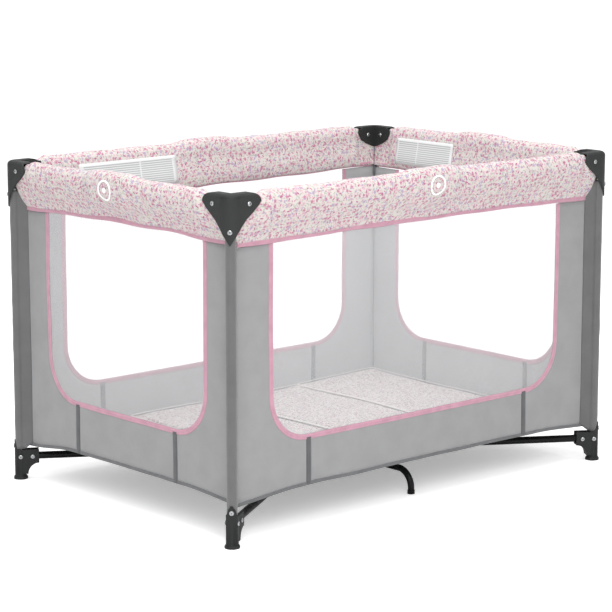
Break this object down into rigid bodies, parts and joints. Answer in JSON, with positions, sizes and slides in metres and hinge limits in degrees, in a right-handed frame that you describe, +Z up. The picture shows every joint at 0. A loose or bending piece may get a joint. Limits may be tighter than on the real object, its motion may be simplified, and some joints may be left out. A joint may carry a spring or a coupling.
{
  "type": "travel play yard",
  "caption": "Folding travel play yard: tube frame with latched top rails, centre floor hub, fabric sides with mesh windows, padded rails and a folding mattress pad.",
  "frame": {"origin": "on the floor, midway between the four leg axes", "axes": "+X along the long sides to the right, +Y from the front long side to the back, +Z up; the open, unfolded state"},
  "size_m": [1.1192, 0.7792, 0.707],
  "materials": {
    "tube_steel": "satin",
    "floor_tube_paint": "gloss",
    "rivet": "satin",
    "shield_plastic": "satin",
    "foot_plastic": "satin",
    "latch_plastic": "satin",
    "button_plastic": "satin",
    "grey_fabric": "matte",
    "dark_grey_fabric": "matte",
    "floral_fabric": "matte",
    "pink_binding": "matte",
    "white_mesh": "matte",
    "floor_fabric": "matte",
    "label_fabric": "matte"
  },
  "bodies": {
    "leg_fl": {"leg_tube_fl": "tube_steel", "foot_fl": "foot_plastic", "corner_shield_fl": "shield_plastic", "corner_cover_fl": "shield_plastic", "leg_rivets_fl": "rivet", "side_front": "grey_fabric", "mesh_front": "white_mesh", "side_left": "grey_fabric", "mesh_left": "white_mesh"},
    "leg_fr": {"leg_tube_fr": "tube_steel", "foot_fr": "foot_plastic", "corner_shield_fr": "shield_plastic", "corner_cover_fr": "shield_plastic", "leg_rivets_fr": "rivet", "side_right": "grey_fabric", "mesh_right": "white_mesh"},
    "leg_bl": {"leg_tube_bl": "tube_steel", "foot_bl": "foot_plastic", "corner_shield_bl": "shield_plastic", "corner_cover_bl": "shield_plastic", "leg_rivets_bl": "rivet", "side_back": "grey_fabric", "mesh_back": "white_mesh"},
    "leg_br": {"leg_tube_br": "tube_steel", "foot_br": "foot_plastic", "corner_shield_br": "shield_plastic", "corner_cover_br": "shield_plastic", "leg_rivets_br": "rivet"},
    "floor_tube_fl": {"floor_tube_fl": "floor_tube_paint"},
    "floor_tube_fr": {"floor_tube_fr": "floor_tube_paint"},
    "floor_tube_bl": {"floor_tube_bl": "floor_tube_paint"},
    "floor_tube_br": {"floor_tube_br": "floor_tube_paint"},
    "hub": {"hub": "foot_plastic", "floor_sheet": "floor_fabric"},
    "support_leg_front": {"support_leg_front": "floor_tube_paint"},
    "support_leg_back": {"support_leg_back": "floor_tube_paint"},
    "rail_front_l": {"rail_front_l": "tube_steel"},
    "rail_front_r": {"rail_front_r": "tube_steel"},
    "rail_back_l": {"rail_back_l": "tube_steel"},
    "rail_back_r": {"rail_back_r": "tube_steel"},
    "rail_left_f": {"rail_left_f": "tube_steel"},
    "rail_left_b": {"rail_left_b": "tube_steel"},
    "rail_right_f": {"rail_right_f": "tube_steel"},
    "rail_right_b": {"rail_right_b": "tube_steel"},
    "latch_front": {"latch_front": "latch_plastic", "rail_cover_front": "floral_fabric"},
    "latch_button_front": {"latch_button_front": "button_plastic"},
    "latch_back": {"latch_back": "latch_plastic", "rail_cover_back": "floral_fabric"},
    "latch_button_back": {"latch_button_back": "button_plastic"},
    "latch_left": {"latch_left": "latch_plastic", "rail_cover_left": "floral_fabric"},
    "latch_button_left": {"latch_button_left": "button_plastic"},
    "latch_right": {"latch_right": "latch_plastic", "rail_cover_right": "floral_fabric"},
    "latch_button_right": {"latch_button_right": "button_plastic"},
    "pad_left": {"pad_left": "floral_fabric"},
    "pad_left_end": {"pad_left_end": "floral_fabric"},
    "pad_right": {"pad_right": "floral_fabric"},
    "pad_right_end": {"pad_right_end": "floral_fabric"}
  },
  "joints": [
    {"name": "fold", "type": "hinge", "parent": "leg_fl", "child": "floor_tube_fl", "pos_m": [-0.50806, -0.34604, 0.05], "axis": [0.5369, -0.8437, 0], "range_deg": [0, 84], "deforming": ["side_front", "side_back", "side_left", "side_right", "mesh_front", "mesh_back", "mesh_left", "mesh_right", "rail_cover_front", "rail_cover_back", "rail_cover_left", "rail_cover_right", "floor_sheet", "pad_left", "pad_left_end", "pad_right", "pad_right_end"]},
    {"name": "hub_on_tube_fl", "type": "hinge", "parent": "floor_tube_fl", "child": "hub", "pos_m": [-0.04056, -0.04854, 0.05], "axis": [0.5369, -0.8437, 0], "range_deg": [-84, 0]},
    {"name": "floor_tube_fr_at_hub", "type": "hinge", "parent": "hub", "child": "floor_tube_fr", "pos_m": [0.04056, -0.04854, 0.05], "axis": [0.5369, 0.8437, 0], "range_deg": [0, 84]},
    {"name": "leg_fr_at_tube", "type": "hinge", "parent": "floor_tube_fr", "child": "leg_fr", "pos_m": [0.50806, -0.34604, 0.05], "axis": [0.5369, 0.8437, 0], "range_deg": [-84, 0]},
    {"name": "floor_tube_bl_at_hub", "type": "hinge", "parent": "hub", "child": "floor_tube_bl", "pos_m": [-0.04056, 0.04854, 0.05], "axis": [-0.5369, -0.8437, 0], "range_deg": [0, 84]},
    {"name": "leg_bl_at_tube", "type": "hinge", "parent": "floor_tube_bl", "child": "leg_bl", "pos_m": [-0.50806, 0.34604, 0.05], "axis": [-0.5369, -0.8437, 0], "range_deg": [-84, 0]},
    {"name": "floor_tube_br_at_hub", "type": "hinge", "parent": "hub", "child": "floor_tube_br", "pos_m": [0.04056, 0.04854, 0.05], "axis": [-0.5369, 0.8437, 0], "range_deg": [0, 84]},
    {"name": "leg_br_at_tube", "type": "hinge", "parent": "floor_tube_br", "child": "leg_br", "pos_m": [0.50806, 0.34604, 0.05], "axis": [-0.5369, 0.8437, 0], "range_deg": [-84, 0]},
    {"name": "rail_front_l_at_leg", "type": "hinge", "parent": "leg_fl", "child": "rail_front_l", "pos_m": [-0.4975, -0.363, 0.68], "axis": [0, 1, 0], "range_deg": [0, 84]},
    {"name": "latch_front_at_rail", "type": "hinge", "parent": "rail_front_l", "child": "latch_front", "pos_m": [-0.03, -0.363, 0.68], "axis": [0, 1, 0], "range_deg": [-84, 0]},
    {"name": "rail_front_r_at_latch", "type": "hinge", "parent": "latch_front", "child": "rail_front_r", "pos_m": [0.03, -0.363, 0.68], "axis": [0, -1, 0], "range_deg": [0, 84]},
    {"name": "rail_back_l_at_leg", "type": "hinge", "parent": "leg_bl", "child": "rail_back_l", "pos_m": [-0.4975, 0.363, 0.68], "axis": [0, 1, 0], "range_deg": [0, 84]},
    {"name": "latch_back_at_rail", "type": "hinge", "parent": "rail_back_l", "child": "latch_back", "pos_m": [-0.03, 0.363, 0.68], "axis": [0, 1, 0], "range_deg": [-84, 0]},
    {"name": "rail_back_r_at_latch", "type": "hinge", "parent": "latch_back", "child": "rail_back_r", "pos_m": [0.03, 0.363, 0.68], "axis": [0, -1, 0], "range_deg": [0, 84]},
    {"name": "rail_left_f_at_leg", "type": "hinge", "parent": "leg_fl", "child": "rail_left_f", "pos_m": [-0.533, -0.3275, 0.68], "axis": [-1, 0, 0], "range_deg": [0, 84]},
    {"name": "latch_left_at_rail", "type": "hinge", "parent": "rail_left_f", "child": "latch_left", "pos_m": [-0.533, -0.03, 0.68], "axis": [-1, 0, 0], "range_deg": [-84, 0]},
    {"name": "rail_left_b_at_latch", "type": "hinge", "parent": "latch_left", "child": "rail_left_b", "pos_m": [-0.533, 0.03, 0.68], "axis": [1, 0, 0], "range_deg": [0, 84]},
    {"name": "rail_right_f_at_leg", "type": "hinge", "parent": "leg_fr", "child": "rail_right_f", "pos_m": [0.533, -0.3275, 0.68], "axis": [-1, 0, 0], "range_deg": [0, 84]},
    {"name": "latch_right_at_rail", "type": "hinge", "parent": "rail_right_f", "child": "latch_right", "pos_m": [0.533, -0.03, 0.68], "axis": [-1, 0, 0], "range_deg": [-84, 0]},
    {"name": "rail_right_b_at_latch", "type": "hinge", "parent": "latch_right", "child": "rail_right_b", "pos_m": [0.533, 0.03, 0.68], "axis": [1, 0, 0], "range_deg": [0, 84]},
    {"name": "support_leg_front_at_hub", "type": "hinge", "parent": "hub", "child": "support_leg_front", "pos_m": [0.016, -0.04, 0.05], "axis": [1, 0, 0], "range_deg": [0, 84]},
    {"name": "support_leg_back_at_hub", "type": "hinge", "parent": "hub", "child": "support_leg_back", "pos_m": [-0.016, 0.04, 0.05], "axis": [-1, 0, 0], "range_deg": [0, 84]},
    {"name": "pad_left_at_leg", "type": "hinge", "parent": "leg_fl", "child": "pad_left", "pos_m": [-0.5005, 0, 0.087], "axis": [0, -1, 0], "range_deg": [0, 84]},
    {"name": "pad_right_at_leg", "type": "hinge", "parent": "leg_fr", "child": "pad_right", "pos_m": [0.5005, 0, 0.087], "axis": [0, 1, 0], "range_deg": [0, 84]},
    {"name": "pad_left_seam", "type": "hinge", "parent": "pad_left", "child": "pad_left_end", "pos_m": [-0.25025, 0, 0.102], "axis": [0, 1, 0], "range_deg": [0, 170]},
    {"name": "pad_right_seam", "type": "hinge", "parent": "pad_right", "child": "pad_right_end", "pos_m": [0.25025, 0, 0.102], "axis": [0, -1, 0], "range_deg": [0, 170]},
    {"name": "press_button_front", "type": "slide", "parent": "latch_front", "child": "latch_button_front", "axis": [0, 0, 1], "range_m": [0, 0.005], "stiffness_N_per_m": 300},
    {"name": "press_button_back", "type": "slide", "parent": "latch_back", "child": "latch_button_back", "axis": [0, 0, 1], "range_m": [0, 0.005], "stiffness_N_per_m": 300},
    {"name": "press_button_left", "type": "slide", "parent": "latch_left", "child": "latch_button_left", "axis": [0, 0, 1], "range_m": [0, 0.005], "stiffness_N_per_m": 300},
    {"name": "press_button_right", "type": "slide", "parent": "latch_right", "child": "latch_button_right", "axis": [0, 0, 1], "range_m": [0, 0.005], "stiffness_N_per_m": 300}
  ],
  "couplings": [
    {"joint": "hub_on_tube_fl", "follows": "fold", "ratio": -1},
    {"joint": "floor_tube_fr_at_hub", "follows": "fold", "ratio": 1},
    {"joint": "leg_fr_at_tube", "follows": "fold", "ratio": -1},
    {"joint": "floor_tube_bl_at_hub", "follows": "fold", "ratio": 1},
    {"joint": "leg_bl_at_tube", "follows": "fold", "ratio": -1},
    {"joint": "floor_tube_br_at_hub", "follows": "fold", "ratio": 1},
    {"joint": "leg_br_at_tube", "follows": "fold", "ratio": -1},
    {"joint": "rail_front_l_at_leg", "follows": "fold", "ratio": 1},
    {"joint": "latch_front_at_rail", "follows": "fold", "ratio": -1},
    {"joint": "rail_front_r_at_latch", "follows": "fold", "ratio": 1},
    {"joint": "rail_back_l_at_leg", "follows": "fold", "ratio": 1},
    {"joint": "latch_back_at_rail", "follows": "fold", "ratio": -1},
    {"joint": "rail_back_r_at_latch", "follows": "fold", "ratio": 1},
    {"joint": "rail_left_f_at_leg", "follows": "fold", "ratio": 1},
    {"joint": "latch_left_at_rail", "follows": "fold", "ratio": -1},
    {"joint": "rail_left_b_at_latch", "follows": "fold", "ratio": 1},
    {"joint": "rail_right_f_at_leg", "follows": "fold", "ratio": 1},
    {"joint": "latch_right_at_rail", "follows": "fold", "ratio": -1},
    {"joint": "rail_right_b_at_latch", "follows": "fold", "ratio": 1},
    {"joint": "support_leg_front_at_hub", "follows": "fold", "ratio": 1},
    {"joint": "support_leg_back_at_hub", "follows": "fold", "ratio": 1},
    {"joint": "pad_left_at_leg", "follows": "fold", "ratio": 1},
    {"joint": "pad_right_at_leg", "follows": "fold", "ratio": 1}
  ]
}
